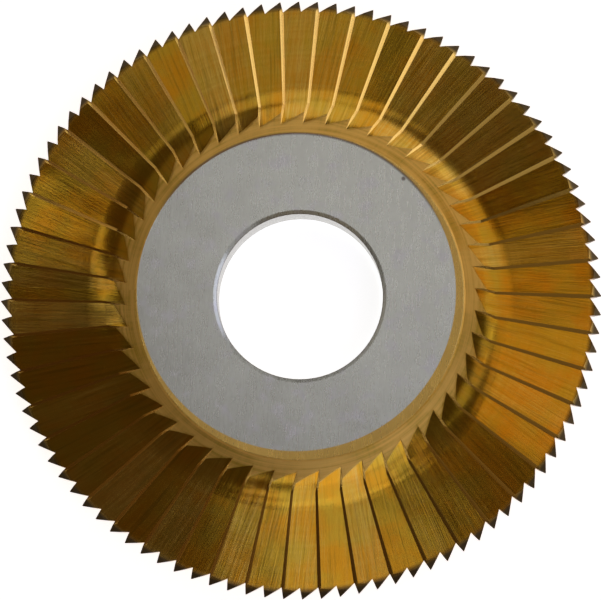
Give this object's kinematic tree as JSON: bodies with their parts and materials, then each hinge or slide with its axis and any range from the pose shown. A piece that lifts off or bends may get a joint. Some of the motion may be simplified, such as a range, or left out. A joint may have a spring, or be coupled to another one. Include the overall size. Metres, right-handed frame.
{
  "type": "key cutter wheel",
  "caption": "Double-sided key cutter wheel: bored hub with flat ground faces, thin toothed disc with straight gullets on both flanks and a bevelled sawtooth rim.",
  "frame": {"origin": "on the bore axis at the lower hub face, which the wheel lies on", "axes": "+Z along the bore axis, away from the face it lies on; +X along the first gullet of the upper flank"},
  "size_m": [0.08, 0.08, 0.0075],
  "materials": {
    "coated_steel": "gold coloured hard coating on ground high speed steel, bare grey steel on the hub faces and in the bore"
  },
  "bodies": {
    "root": {"cutter_wheel": "coated_steel"}
  },
  "joints": []
}
